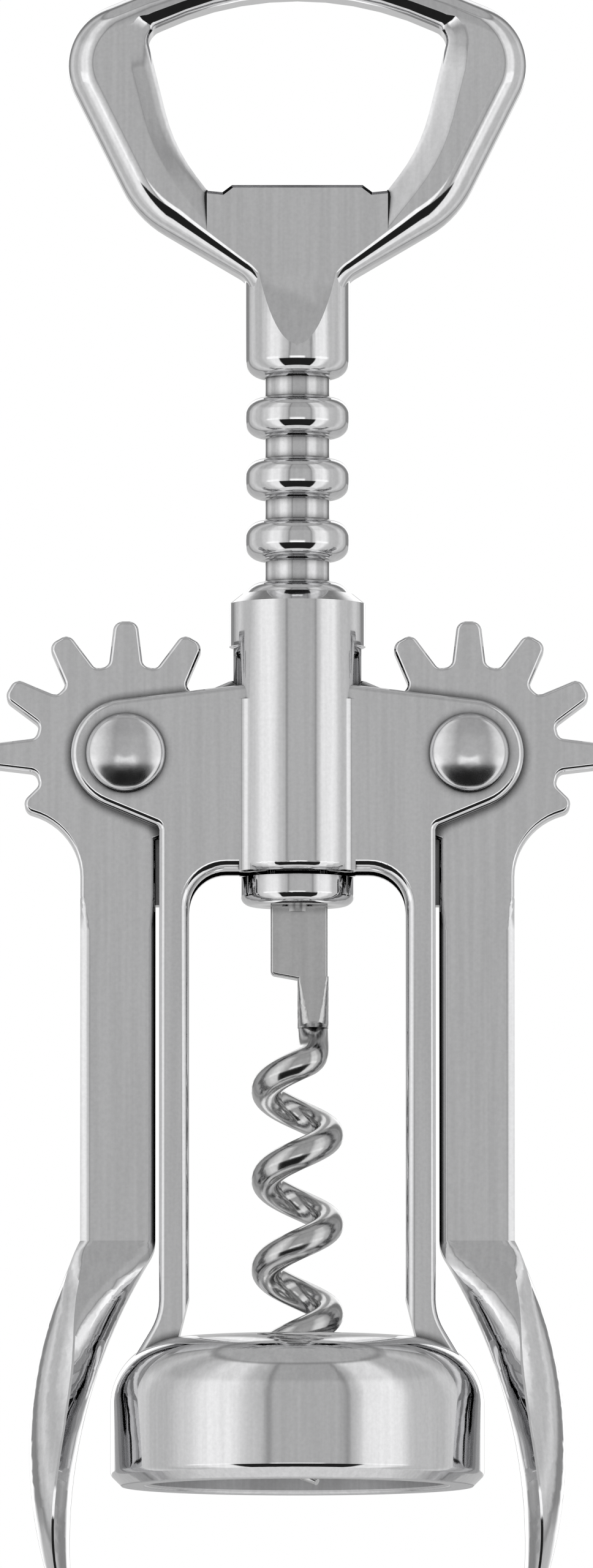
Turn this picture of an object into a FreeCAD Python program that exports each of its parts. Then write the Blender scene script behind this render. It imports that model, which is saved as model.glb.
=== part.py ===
import FreeCAD, Part
import math
import os

# Wing corkscrew, in millimetres. The origin is on the axis, in the plane of the bell's foot.
# +Z runs up towards the handle, +Y to the back and +X to the right wing.
V = FreeCAD.Vector

# Rack and pinions: one ring of the rod passes for each tooth of a wing
rack_pitch = 6.35
gear_teeth = 12
pivot_x = 17.6
pivot_z = 75.0
tip_radius = 13.8
root_radius = 9.4
tooth_tip_half = 1.2
tooth_root_half = 1.75
tooth_tip_round = 1.0
tooth_root_round = 0.8
last_tooth_angle = -30.0

# Rack rod: rings of revolution on a thinner core
ring_radius = 5.4
core_radius = 3.35
ring_half_height = 2.2
crown_round = 1.8
crown_flat = 0.25
rings_above_pivot = 6
rings_below_pivot = 2
rod_end_z = 62.6
neck_bottom_z = 114.0
neck_top_z = 124.2
neck_bottom_round = 2.0
neck_flat_bottom_z = 117.1
neck_flat_top_z = 125.0

# Casting: bell, legs, cheeks and barrel
casting_half_depth = 4.6
bell_radius = 19.15
bell_height = 15.15
bell_shoulder = 6.9
bell_foot_bevel = 1.15
mouth_radius = 15.4
mouth_bevel = 0.4
seat_z = 11.5
seat_round = 1.0
throat_radius = 11.0
leg_inner = 11.1
leg_outer = 14.15
leg_flare_z = 17.3
leg_flare_out = 3.05
leg_flare_round = 6.0
leg_root_z = 12.2
leg_toe_in = 1.8
leg_toe_z = 19.3
window_top_z = 63.0
window_round = 3.8
ear_radius = 5.6
ear_step_z = 67.5
cheek_slope = 7.0
outer_edge_round = 0.7
window_edge_round = 1.1
barrel_radius = 7.0
barrel_bottom_z = 62.9
barrel_top_z = 91.7
barrel_top_chamfer = 1.25
barrel_bottom_round = 0.9
flank_round = 1.6
slot_bottom_z = 58.9
slot_top_z = 86.3

# Wings
wing_half_thick = 2.25
hub_radius = 9.3
stem_inner = 14.55
stem_outer = 22.25
stem_inner_bevel = 1.0
stem_outer_bevel = 1.3
stem_bevel_depth = 0.45
stem_bevel_top_z = 60.5
stem_bevel_runout = 3.5
tooth_edge_round = 0.45
tongue_x = 13.2
tongue_half_thick = 1.5
tongue_bottom_z = 59.6
tongue_top_z = 68.5
crease_z = 25.1
shoulder_z = 67.6
shoulder_round = 6.8
last_tooth_cut_x = 28.9
last_tooth_cut_z = 69.5
last_tooth_cut_round = 1.0

# Thumb paddles: two bows seen from the front, widest in depth at the belly
paddle_outer_x = 27.46
paddle_outer_z = 3.6
paddle_outer_bow = 46.0
paddle_inner_x = 23.3
paddle_inner_z = -6.0
paddle_inner_bow = 56.0
paddle_belly_z = 1.0
paddle_belly_half = 7.4
paddle_tip_z = -13.6
paddle_tip_half = 1.6
paddle_facet_end_z = 16.8
paddle_rim_width = 0.25
paddle_crown = 3.7
paddle_crown_z = 10.0
paddle_tip_crown = 0.65
paddle_steps = 12

# Rivets
rivet_radius = 2.2
rivet_head_radius = 4.1
rivet_head_height = 2.2
rivet_tail_radius = 3.2
rivet_tail_height = 1.0

# Cap-lifter head: half widths, and heights (rise) above the top of the neck
head_half_depth = 3.6
head_edge_round = 1.6
head_waist = 0.7
head_waist_round = 2.6
hip_x = 16.45
hip_rise = 6.3
hip_round = 11.0
head_shoulder_x = 25.9
head_shoulder_rise = 25.2
head_shoulder_round = 6.5
head_top_rise = 37.3
head_top_round = 46.0
lip_rise = 9.5
lip_half = 6.7
lip_end_half = 7.7
lip_height = 0.75
opening_foot_x = 9.2
opening_side_x = 12.65
opening_side_rise = 13.4
opening_side_round = 18.0
opening_corner_x = 15.6
opening_corner_rise = 25.3
opening_corner_round = 1.6
opening_top_rise = 32.6
opening_top_round = 33.0
opening_bevel = 2.7
opening_bevel_depth = 0.95
opening_edge_bevel = 0.35
bevel_foot_x = 7.0
bevel_foot_drop = 3.4
web_half = 9.3

# Stop collar, worm and cross pin
collar_radius = 5.88
collar_bottom_z = 59.6
collar_top_z = 62.5
collar_round = 1.2
wire_radius = 1.55
worm_tang_top_z = 74.0
shank_left = -2.75
shank_right = 3.1
shank_half_thick = 1.3
shank_bottom_z = 52.5
shank_notch_drop = 0.5
shank_corner_round = 0.5
shank_shoulder_z = 59.5
shank_round = 0.3
worm_neck_x = 1.6
worm_neck_half = 1.6
worm_neck_bottom_z = 47.0
worm_mean_radius = 3.2
worm_pitch = 9.2
worm_first_left_z = 40.7
worm_neck_angle = 285
worm_step_angle = 45
worm_tip_radius = 0.35
worm_tip_turn = 0.75
worm_tip_z = 0.6
pin_radius = 0.8

# Clearances
slide_gap = 0.05
wing_gap = 0.2
pivot_gap = 0.05


def point(x, z, y=0.0):
    return V(x, y, z)


def direction(angle):
    turn = math.radians(angle)
    return V(math.cos(turn), 0, math.sin(turn))


def meet(p, p_angle, q, q_angle):
    """Where the line through p meets the line through q, in the XZ plane."""
    u, w = direction(p_angle), direction(q_angle)
    gap = q - p
    along = (gap.x * w.z - gap.z * w.x) / (u.x * w.z - u.z * w.x)
    return p + u * along


def mirrored(corners):
    """A half outline on +X and its mirror image, as one closed outline."""
    other = [(-x, z, r) for x, z, r in reversed(corners) if abs(x) > 1e-9]
    return corners + other


def inset(corners, distance):
    """The same anticlockwise outline moved inwards, with its rounds kept concentric."""
    moved = []
    for i, (x, z, r) in enumerate(corners):
        before, after = corners[i - 1], corners[(i + 1) % len(corners)]
        u = V(x - before[0], 0, z - before[1]).normalize()
        w = V(after[0] - x, 0, after[1] - z).normalize()
        n_u, n_w = V(-u.z, 0, u.x), V(-w.z, 0, w.x)
        shift = (n_u + n_w) * (distance / (1 + n_u.dot(n_w)))
        turns_in = u.x * w.z - u.z * w.x > 0
        radius = r - distance if turns_in else r + distance
        moved.append((x + shift.x, z + shift.z, max(radius, 0.05) if r else 0))
    return moved


def corner_arc(before, corner, after, radius):
    """Start, middle and end of the arc that rounds one corner."""
    back, on = (before - corner).normalize(), (after - corner).normalize()
    half = back.getAngle(on) / 2
    reach = radius / math.tan(half)
    inward = (back + on).normalize()
    middle = corner + inward * (radius / math.sin(half) - radius)
    return corner + back * reach, middle, corner + on * reach


def rounded_wire(corners):
    """A closed wire through corners (point, round)."""
    points = [p for p, r in corners]
    stretches = []
    for i, (p, r) in enumerate(corners):
        if r:
            stretches.append(corner_arc(points[i - 1], p, points[(i + 1) % len(points)], r))
        else:
            stretches.append((p,))
    edges = []
    for i, stretch in enumerate(stretches):
        if len(stretch) == 3:
            edges.append(Part.Arc(*stretch).toShape())
        start, end = stretch[-1], stretches[(i + 1) % len(stretches)][0]
        if start.distanceToPoint(end) > 1e-4:
            edges.append(Part.makeLine(start, end))
    return Part.Wire(edges)


def outline(corners, y=0.0):
    """A closed wire in an XZ plane from corners (x, z, round)."""
    return rounded_wire([(point(x, z, y), r) for x, z, r in corners])


def plate(corners, half_depth):
    face = Part.Face(outline(corners, -half_depth))
    return face.extrude(V(0, 2 * half_depth, 0))


def revolved(edges, axis=V(0, 0, 1), base=V(0, 0, 0)):
    return Part.Face(Part.Wire(edges)).revolve(base, axis, 360)


def lines(*points):
    return [Part.makeLine(a, b) for a, b in zip(points, points[1:])]


def quarter(centre, radius, start_angle, end_angle):
    """An arc about a centre in the XZ plane."""
    angles = (start_angle, (start_angle + end_angle) / 2, end_angle)
    return Part.Arc(*[centre + direction(a) * radius for a in angles]).toShape()


def across(x, z, radius, half_length):
    """A round bar along Y."""
    return Part.makeCylinder(radius, 2 * half_length, V(x, -half_length, z), V(0, 1, 0))


def box(x_half, y_half, z_low, z_high):
    return Part.makeBox(2 * x_half, 2 * y_half, z_high - z_low, V(-x_half, -y_half, z_low))


def face_edges(shape, half_depth, wanted):
    """Edges that lie in the front or back face and whose middle is wanted."""
    found = []
    for edge in shape.Edges:
        if all(abs(abs(v.Y) - half_depth) < 1e-4 for v in edge.Vertexes):
            middle = edge.valueAt((edge.FirstParameter + edge.LastParameter) / 2)
            if abs(abs(middle.y) - half_depth) < 1e-4 and wanted(middle):
                found.append(edge)
    return found


# The casting ------------------------------------------------------------------

def bell():
    dome = V(bell_radius - bell_shoulder, 0, bell_height - bell_shoulder)
    inner_corner = V(mouth_radius - seat_round, 0, seat_z - seat_round)
    edges = lines(
        point(mouth_radius, mouth_bevel),
        point(mouth_radius + mouth_bevel, 0),
        point(bell_radius - bell_foot_bevel, 0),
        point(bell_radius, bell_foot_bevel),
        point(bell_radius, dome.z))
    edges.append(quarter(dome, bell_shoulder, 0, 90))
    edges += lines(
        point(dome.x, bell_height),
        point(throat_radius, bell_height),
        point(throat_radius, seat_z),
        point(inner_corner.x, seat_z))
    edges.append(quarter(inner_corner, seat_round, 90, 0))
    edges += lines(point(mouth_radius, inner_corner.z), point(mouth_radius, mouth_bevel))
    return revolved(edges)


def ear_corner():
    """Where the cheek's sloping top meets its lower edge; rounding it leaves the ear's round end."""
    pivot = point(pivot_x, pivot_z)
    step = point(leg_outer, ear_step_z)
    reach = pivot - step
    lower = math.degrees(math.atan2(reach.z, reach.x) - math.asin(ear_radius / reach.Length))
    top = pivot + direction(90 - cheek_slope) * ear_radius
    return meet(step, lower, top, 180 - cheek_slope), top


def frame_plate():
    """Legs and cheeks in one plate, with the cork window between the legs."""
    corner, top = ear_corner()
    ridge_z = top.z + top.x * math.tan(math.radians(cheek_slope))
    body = plate(mirrored([
        (leg_outer + leg_flare_out, leg_root_z, 0),
        (leg_outer, leg_flare_z, leg_flare_round),
        (leg_outer, ear_step_z, 0.6),
        (corner.x, corner.z, ear_radius),
        (0, ridge_z, 0)]), casting_half_depth)
    body = body.makeFillet(outer_edge_round, face_edges(body, casting_half_depth,
                           lambda p: p.z > leg_root_z + 0.01))
    window = plate(mirrored([
        (leg_inner + leg_toe_in, leg_root_z - 1, 0),
        (leg_inner + leg_toe_in, leg_root_z, 0),
        (leg_inner, leg_toe_z, 0),
        (leg_inner, window_top_z, window_round)]), casting_half_depth + 1)
    body = body.cut(window)
    return body.makeFillet(window_edge_round, face_edges(body, casting_half_depth, lambda p: (
                           abs(p.x) < leg_inner + leg_toe_in and leg_toe_z - 1 < p.z < window_top_z + 0.1)))


def barrel():
    top = barrel_radius - barrel_top_chamfer
    corner = point(barrel_radius - barrel_bottom_round, barrel_bottom_z + barrel_bottom_round)
    edges = lines(
        point(0, barrel_bottom_z),
        point(corner.x, barrel_bottom_z))
    edges.append(quarter(corner, barrel_bottom_round, -90, 0))
    edges += lines(
        point(barrel_radius, corner.z),
        point(barrel_radius, barrel_top_z - 0.8 * barrel_top_chamfer),
        point(top, barrel_top_z),
        point(0, barrel_top_z),
        point(0, barrel_bottom_z))
    return revolved(edges)


def barrel_flanks():
    """Hollow rounds that lead from the cheeks' flat faces into the barrel."""
    centre_y = casting_half_depth + flank_round
    centre_x = math.sqrt((barrel_radius + flank_round) ** 2 - centre_y ** 2)
    share = barrel_radius / (barrel_radius + flank_round)

    def flank(sign_x, sign_y):
        centre = V(sign_x * centre_x, sign_y * centre_y, 0)
        on_cheek = V(centre.x, sign_y * casting_half_depth, 0)
        on_barrel = centre * share
        inward = (on_cheek + on_barrel - centre * 2).normalize()
        return on_cheek, centre + inward * flank_round, on_barrel

    edges = []
    start = None
    for sign_x, sign_y in ((1, 1), (-1, 1), (-1, -1), (1, -1)):
        on_cheek, middle, on_barrel = flank(sign_x, sign_y)
        first, last = (on_cheek, on_barrel) if sign_x == sign_y else (on_barrel, on_cheek)
        if start:
            edges.append(Part.makeLine(start, first))
        edges.append(Part.Arc(first, middle, last).toShape())
        start = last
    edges.append(Part.makeLine(start, edges[0].valueAt(edges[0].FirstParameter)))
    profile = Part.Face(Part.Wire(edges))
    profile.translate(V(0, 0, window_top_z))
    top_z = pivot_z + ear_radius
    return profile.extrude(V(0, 0, top_z - window_top_z))


def frame_casting():
    body = frame_plate().fuse([barrel(), barrel_flanks(), bell()])
    bore = Part.makeCylinder(ring_radius + slide_gap, barrel_top_z - barrel_bottom_z + 4,
                             V(0, 0, barrel_bottom_z - 2))
    slot = box(pivot_x + 2 * ear_radius, wing_half_thick + wing_gap, slot_bottom_z, slot_top_z)
    rivet_holes = [across(x, pivot_z, rivet_radius, casting_half_depth + 1) for x in (-pivot_x, pivot_x)]
    return body.cut([bore, slot] + rivet_holes).removeSplitter()


# The wings --------------------------------------------------------------------

def tooth_point(angle, radius, offset):
    """A point at a radius along a tooth's centre line and an offset to its side."""
    out = direction(angle)
    side = V(-out.z, 0, out.x)
    return point(pivot_x, pivot_z) + out * radius + side * offset


def gear_corners():
    step = 360.0 / gear_teeth
    root_reach = math.sqrt(root_radius ** 2 - tooth_root_half ** 2)
    upper_root = tooth_point(last_tooth_angle, root_reach, tooth_root_half)
    corners = [(upper_root.x, upper_root.z, tooth_root_round)]
    angle = last_tooth_angle + step
    while angle < 181:
        for radius, offset, r in ((root_reach, -tooth_root_half, tooth_root_round),
                                  (tip_radius, -tooth_tip_half, tooth_tip_round),
                                  (tip_radius, tooth_tip_half, tooth_tip_round),
                                  (root_reach, tooth_root_half, tooth_root_round)):
            p = tooth_point(angle, radius, offset)
            corners.append((p.x, p.z, r))
        angle += step
    x, z, r = corners[-1]
    corners[-1] = (x, z, 0)
    return corners


def wing_plate():
    """The flat, toothed upper part with rounded edges, and a thin tongue that stays in the leg's slot."""
    corners = [
        (stem_inner, stem_bevel_top_z, 0),
        (stem_outer, stem_bevel_top_z, 0),
        (stem_outer, shoulder_z, shoulder_round),
        (last_tooth_cut_x, last_tooth_cut_z, last_tooth_cut_round)]
    corners += gear_corners()
    corners.append((pivot_x, pivot_z, 0))
    corners.append((stem_inner, pivot_z - 1, 0))
    body = plate(corners, wing_half_thick).fuse(across(pivot_x, pivot_z, hub_radius, wing_half_thick))
    body = body.removeSplitter()
    body = body.makeFillet(tooth_edge_round, face_edges(body, wing_half_thick,
                           lambda p: p.z > stem_bevel_top_z + 0.01))
    tongue = Part.makeBox(stem_inner + 1 - tongue_x, 2 * tongue_half_thick, tongue_top_z - tongue_bottom_z,
                          V(tongue_x, -tongue_half_thick, tongue_bottom_z))
    return body.fuse(tongue)


def side_points(width, half, blend):
    """Half of a section's side, from the flat's edge to the nose, as (reach, depth) pairs:
    a bevel and a straight side where blend is 0, and one crowned arc where it is 1."""
    depth = min(stem_bevel_depth, width)
    turn = 2 * math.atan2(depth, width)
    radius = width / math.sin(turn)
    bevelled = ((0, half), (radius * math.sin(turn / 2), half - radius * (1 - math.cos(turn / 2))),
                (width, half - depth), (width + 0.02, 0))
    radius = (half ** 2 + width ** 2) / (2 * width)
    spread = math.atan2(half, radius - width)
    crowned = [(width - radius * (1 - math.cos(spread * k)), radius * math.sin(spread * k))
               for k in (1, 0.75, 0.5, 0)]
    return [(a[0] + (b[0] - a[0]) * blend, a[1] + (b[1] - a[1]) * blend) for a, b in zip(bevelled, crowned)]


def section(z, half, outer, outer_width, inner, inner_width, blend=0.0):
    """One cross-section of the stem or paddle: a flat front and back between two shaped sides."""
    def side(flat_x, width, sign):
        front = [V(flat_x + sign * reach, -depth, z) for reach, depth in side_points(width, half, blend)]
        back = [V(p.x, -p.y, z) for p in reversed(front[:-1])]
        chain = front + back
        return chain, [Part.Arc(*chain[i:i + 3]).toShape() for i in (0, 2, 4)]

    out_chain, out_edges = side(outer - outer_width, outer_width, 1)
    in_chain, in_edges = side(inner + inner_width, inner_width, -1)
    return Part.Wire(out_edges + [Part.makeLine(out_chain[-1], in_chain[-1])] + in_edges[::-1]
                     + [Part.makeLine(in_chain[0], out_chain[0])])


def stem_section(z):
    return section(z, wing_half_thick, stem_outer, stem_outer_bevel, stem_inner, stem_inner_bevel)


def bow(z, widest_x, widest_z, radius):
    """Where a bowed edge runs at a height."""
    return widest_x - radius + math.sqrt(radius ** 2 - (z - widest_z) ** 2)


def ease(share):
    """From 0 to 1 with level ends."""
    return (1 - math.cos(math.pi * min(max(share, 0), 1))) / 2


def paddle_half(z):
    """Half the paddle's depth: it swells from the stem to the belly and ends in a rounded tip."""
    if z > paddle_belly_z:
        share = (z - paddle_belly_z) / (crease_z - paddle_belly_z)
        return paddle_belly_half - (paddle_belly_half - wing_half_thick) * share ** 1.5
    reach = (paddle_belly_z - paddle_tip_z) / math.sqrt(1 - (paddle_tip_half / paddle_belly_half) ** 2)
    return paddle_belly_half * math.sqrt(1 - ((paddle_belly_z - z) / reach) ** 2)


def paddle_section(z):
    """The front facet narrows to a rim below the crease, while both sides become crowned."""
    outer = bow(z, paddle_outer_x, paddle_outer_z, paddle_outer_bow)
    inner = bow(z, paddle_inner_x, paddle_inner_z, paddle_inner_bow)
    if z > paddle_crown_z:
        share = ease((crease_z - z) / (crease_z - paddle_crown_z))
        crown = stem_outer_bevel + (paddle_crown - stem_outer_bevel) * share
    else:
        share = ease((paddle_crown_z - z) / (paddle_crown_z - paddle_tip_z))
        crown = paddle_crown + (paddle_tip_crown - paddle_crown) * share
    flat = stem_outer - stem_outer_bevel - stem_inner - stem_inner_bevel
    facet = max(flat * (z - paddle_facet_end_z) / (crease_z - paddle_facet_end_z), paddle_rim_width)
    blend = ease((crease_z - z) / (crease_z - paddle_facet_end_z))
    return section(z, paddle_half(z), outer, crown, inner, outer - crown - facet - inner, blend)


def wing():
    """The right wing: toothed plate, bevelled stem and thumb paddle."""
    edge = tooth_edge_round
    bevel_z = stem_bevel_top_z - stem_bevel_runout
    plain = section(stem_bevel_top_z, wing_half_thick, stem_outer, edge, stem_inner, edge)
    runout = Part.makeLoft([plain, stem_section(bevel_z)], True, True)
    stem = Part.Face(stem_section(crease_z)).extrude(V(0, 0, bevel_z - crease_z))
    drop = (crease_z - paddle_tip_z) / paddle_steps
    below = [paddle_section(crease_z - drop * i) for i in range(1, paddle_steps + 1)]
    paddle = Part.makeLoft([stem_section(crease_z)] + below, True, False)
    body = wing_plate().fuse([runout, stem, paddle])
    return body.cut(across(pivot_x, pivot_z, rivet_radius + pivot_gap, 2 * wing_half_thick)).removeSplitter()


# Rivets -----------------------------------------------------------------------

def dome(radius, height, y, sign):
    """A low spherical cap about the Y axis, standing on the plane at y."""
    sphere_radius = (radius ** 2 + height ** 2) / (2 * height)
    ball = Part.makeSphere(sphere_radius, V(0, y + sign * (height - sphere_radius), 0))
    low = min(y, y + sign * height)
    return ball.common(Part.makeCylinder(radius, height, V(0, low, 0), V(0, 1, 0)))


def rivet(x):
    shank = Part.makeCylinder(rivet_radius, 2 * casting_half_depth, V(0, -casting_half_depth, 0), V(0, 1, 0))
    body = shank.fuse([
        dome(rivet_head_radius, rivet_head_height, -casting_half_depth, -1),
        dome(rivet_tail_radius, rivet_tail_height, casting_half_depth, 1)])
    body.translate(V(x, 0, pivot_z))
    return body.removeSplitter()


# The handle -------------------------------------------------------------------

def ring_profile(z):
    """Half outline of one ring, from its lower root to its upper root."""
    low, high = z - crown_flat, z + crown_flat
    shoulder = ring_radius - crown_round
    edges = lines(point(core_radius, z - ring_half_height), point(shoulder, low - crown_round))
    edges.append(quarter(point(shoulder, low), crown_round, -90, 0))
    edges += lines(point(ring_radius, low), point(ring_radius, high))
    edges.append(quarter(point(shoulder, high), crown_round, 0, 90))
    edges += lines(point(shoulder, high + crown_round), point(core_radius, z + ring_half_height))
    return edges


def rack_rod():
    edges = []
    last = point(core_radius, rod_end_z)
    for k in range(-rings_below_pivot, rings_above_pivot):
        z = pivot_z + (k + 0.5) * rack_pitch
        edges += lines(last, point(core_radius, z - ring_half_height))
        edges += ring_profile(z)
        last = point(core_radius, z + ring_half_height)
    shoulder = point(ring_radius - neck_bottom_round, neck_bottom_z + neck_bottom_round)
    edges += lines(last, point(core_radius, neck_bottom_z), point(shoulder.x, neck_bottom_z))
    edges.append(quarter(shoulder, neck_bottom_round, -90, 0))
    top_z = neck_top_z + 8
    edges += lines(point(ring_radius, shoulder.z), point(ring_radius, top_z), point(0, top_z),
                   point(0, rod_end_z), point(core_radius, rod_end_z))
    return revolved(edges)


def head_outline():
    """The D-shaped head from the neck out to its hips, shoulders and arched crown."""
    waist = ring_radius - head_waist
    waist_drop = head_waist * hip_rise / (hip_x - ring_radius)
    return mirrored([
        (waist, neck_top_z - 6, 0),
        (waist, neck_top_z - waist_drop, head_waist_round),
        (hip_x, neck_top_z + hip_rise, hip_round),
        (head_shoulder_x, neck_top_z + head_shoulder_rise, head_shoulder_round),
        (0, neck_top_z + head_top_rise, head_top_round)])


def opening_outline(lower_corners):
    """The cap opening above its lower edge, where the lifting lip is."""
    return mirrored(lower_corners + [
        (opening_side_x, neck_top_z + opening_side_rise, opening_side_round),
        (opening_corner_x, neck_top_z + opening_corner_rise, opening_corner_round),
        (0, neck_top_z + opening_top_rise, opening_top_round)])


def frustum(corners, y_from, y_to, distance):
    """A solid between an outline at one depth and the same outline inset at another."""
    return Part.makeLoft([outline(corners, y_from), outline(inset(corners, distance), y_to)], True, True)


def chamfer_cutters(corners, width, depth):
    """Cutters, front and back, that bevel the edge of an opening in the head."""
    return [frustum(corners, sign * (head_half_depth - depth), sign * (head_half_depth + depth), -2 * width)
            for sign in (-1, 1)]


def head():
    """A flat head with well rounded edges; the opening's bevel stops at the web."""
    body = plate(head_outline(), head_half_depth)
    body = body.makeFillet(head_edge_round, face_edges(body, head_half_depth,
                           lambda p: p.z > neck_top_z - 5.9))
    lip_z = neck_top_z + lip_rise
    opening = opening_outline([
        (lip_half, lip_z, 0),
        (lip_end_half, lip_z - lip_height, 0),
        (opening_foot_x, lip_z - 0.8 * lip_height, 0)])
    extended = opening_outline([(bevel_foot_x, lip_z - bevel_foot_drop, 0)])
    web = box(web_half, 2 * head_half_depth, lip_z - 2 * bevel_foot_drop, lip_z + 1)
    cuts = [plate(opening, head_half_depth + 1)]
    cuts += [cutter.cut(web) for cutter in chamfer_cutters(extended, opening_bevel, opening_bevel_depth)]
    cuts += chamfer_cutters(opening, opening_edge_bevel, opening_edge_bevel)
    return body.cut(cuts)


def neck_flats():
    """Cutters for the flats on the round neck, flush with the head and sloping out below it."""
    slope = (neck_flat_top_z - neck_flat_bottom_z) / (ring_radius - head_half_depth)
    cutters = []
    for sign in (-1, 1):
        corners = [
            V(0, sign * head_half_depth, neck_flat_top_z),
            V(0, sign * head_half_depth, neck_top_z + 12),
            V(0, sign * (ring_radius + 1), neck_top_z + 12),
            V(0, sign * (ring_radius + 1), neck_flat_bottom_z - slope)]
        face = Part.Face(Part.Wire(lines(*corners, corners[0])))
        face.translate(V(-ring_radius - 1, 0, 0))
        cutters.append(face.extrude(V(2 * ring_radius + 2, 0, 0)))
    return cutters


def handle():
    body = rack_rod().fuse(head()).cut(neck_flats())
    tang_hole = Part.makeCylinder(wire_radius, worm_tang_top_z - rod_end_z + 0.5, V(0, 0, rod_end_z))
    return body.cut([tang_hole, across(0, pin_z(), pin_radius, ring_radius)]).removeSplitter()


def pin_z():
    """The cross pin sits in the groove between the two lowest rings."""
    return pivot_z - (rings_below_pivot - 1) * rack_pitch


# Collar, worm and pin ---------------------------------------------------------

def stop_collar():
    bore = wire_radius + slide_gap
    corner = point(collar_radius - collar_round, collar_bottom_z + collar_round)
    edges = lines(point(bore, collar_bottom_z), point(corner.x, collar_bottom_z))
    edges.append(quarter(corner, collar_round, -90, 0))
    edges += lines(point(collar_radius, corner.z), point(collar_radius, collar_top_z),
                   point(bore, collar_top_z), point(bore, collar_bottom_z))
    return revolved(edges)


def helix_point(angle):
    """A point of the worm's centre line, at an angle measured as the screw rises."""
    z = worm_first_left_z + worm_pitch * (angle - 180) / 360
    turn = math.radians(angle)
    return V(worm_mean_radius * math.cos(turn), worm_mean_radius * math.sin(turn), z)


def section_at(curve, place, radius):
    """A circle across the wire, with its seam turned away from the worm's axis."""
    centre, along = curve.value(place), V(*curve.tangent(place)[0])
    circle = Part.Wire(Part.makeCircle(radius))
    outward = V(centre.x, centre.y, 0)
    circle.Placement = FreeCAD.Placement(centre, FreeCAD.Rotation(outward, V(), along, "ZXY"))
    return circle


def swept_wire(curve, places, start_radius, end_radius):
    """Round wire along a curve, with one face for each stretch between the places."""
    spine = Part.Wire([curve.toShape(a, b) for a, b in zip(places, places[1:])])
    ends = spine.OrderedVertexes
    shell = Part.BRepOffsetAPI.MakePipeShell(spine)
    shell.setFrenetMode(True)
    shell.add(section_at(curve, places[0], start_radius), ends[0], False, False)
    if start_radius != end_radius:
        shell.add(section_at(curve, places[-1], end_radius), ends[-1], False, False)
    shell.build()
    shell.makeSolid()
    return shell.shape()


def worm_wire():
    """The turns at full thickness from the neck down, then the tapered tip."""
    tip_angle = 180 - 360 * (worm_first_left_z - worm_tip_z) / worm_pitch
    taper_angle = tip_angle + 360 * worm_tip_turn
    turned = worm_neck_angle - tip_angle
    steps = int(turned / worm_step_angle) + 1
    start = V(worm_neck_x, 0, worm_neck_bottom_z + 0.3)
    path = [start + V(0, 0, 2 * wire_radius), start]
    path += [helix_point(worm_neck_angle - turned * i / steps) for i in range(steps + 1)]
    curve = Part.BSplineCurve()
    curve.interpolate(path)
    taper = curve.parameter(helix_point(taper_angle))
    whole_turns = int((worm_neck_angle - taper_angle) / 360)
    places = [curve.parameter(start)]
    places += [curve.parameter(helix_point(taper_angle + 360 * i)) for i in range(whole_turns, 0, -1)]
    turns = swept_wire(curve, places + [taper], wire_radius, wire_radius)
    return turns.fuse(swept_wire(curve, [taper, curve.LastParameter], wire_radius, worm_tip_radius))


def bar_section(z, half_x, half_y, radius):
    """A rounded rectangle across the worm's neck."""
    return rounded_wire([(V(worm_neck_x + sx * half_x, sy * half_y, z), radius)
                         for sx, sy in ((-1, -1), (1, -1), (1, 1), (-1, 1))])


def worm():
    """Tang, flattened shank, a neck that blends into the round wire, and the turns."""
    tang_foot_z = shank_shoulder_z - 0.5
    tang = Part.makeCylinder(wire_radius, worm_tang_top_z - tang_foot_z, V(0, 0, tang_foot_z))
    foot_z = shank_bottom_z - shank_notch_drop
    shank = plate([
        (shank_left, shank_shoulder_z, 0),
        (shank_left, shank_bottom_z, shank_corner_round),
        (worm_neck_x - worm_neck_half, foot_z, 0),
        (shank_right, foot_z, 0),
        (shank_right, shank_shoulder_z, 0)], shank_half_thick)
    upright = [e for e in shank.Edges if abs(e.tangentAt(e.FirstParameter).z) > 0.9]
    shank = shank.makeFillet(shank_round, upright)
    cover = wire_radius + 0.06
    neck = Part.makeLoft([
        bar_section(foot_z + 0.3, worm_neck_half, shank_half_thick, shank_round),
        bar_section(worm_neck_bottom_z, cover, cover, cover - 0.01)], True, True)
    body = worm_wire().fuse([tang, shank, neck])
    return body.cut(across(0, pin_z(), pin_radius, ring_radius)).removeSplitter()


def worm_pin():
    reach = math.sqrt(core_radius ** 2 - pin_radius ** 2)
    return across(0, pin_z(), pin_radius, reach)


def export(shape, name):
    solids = shape.Solids
    if len(solids) != 1 or not shape.isValid():
        raise SystemExit("%s: %d solids, valid %s" % (name, len(solids), shape.isValid()))
    solids[0].exportStep("parts/%s.step" % name)


def main():
    os.makedirs("parts", exist_ok=True)
    right_wing = wing()
    pieces = {
        "frame_casting": frame_casting(),
        "right_wing": right_wing,
        "left_wing": right_wing.mirror(V(0, 0, 0), V(1, 0, 0)),
        "right_rivet": rivet(pivot_x),
        "left_rivet": rivet(-pivot_x),
        "handle": handle(),
        "stop_collar": stop_collar(),
        "worm": worm(),
        "worm_pin": worm_pin(),
    }
    for name, shape in pieces.items():
        export(shape, name)


main()
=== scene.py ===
import math

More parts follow.
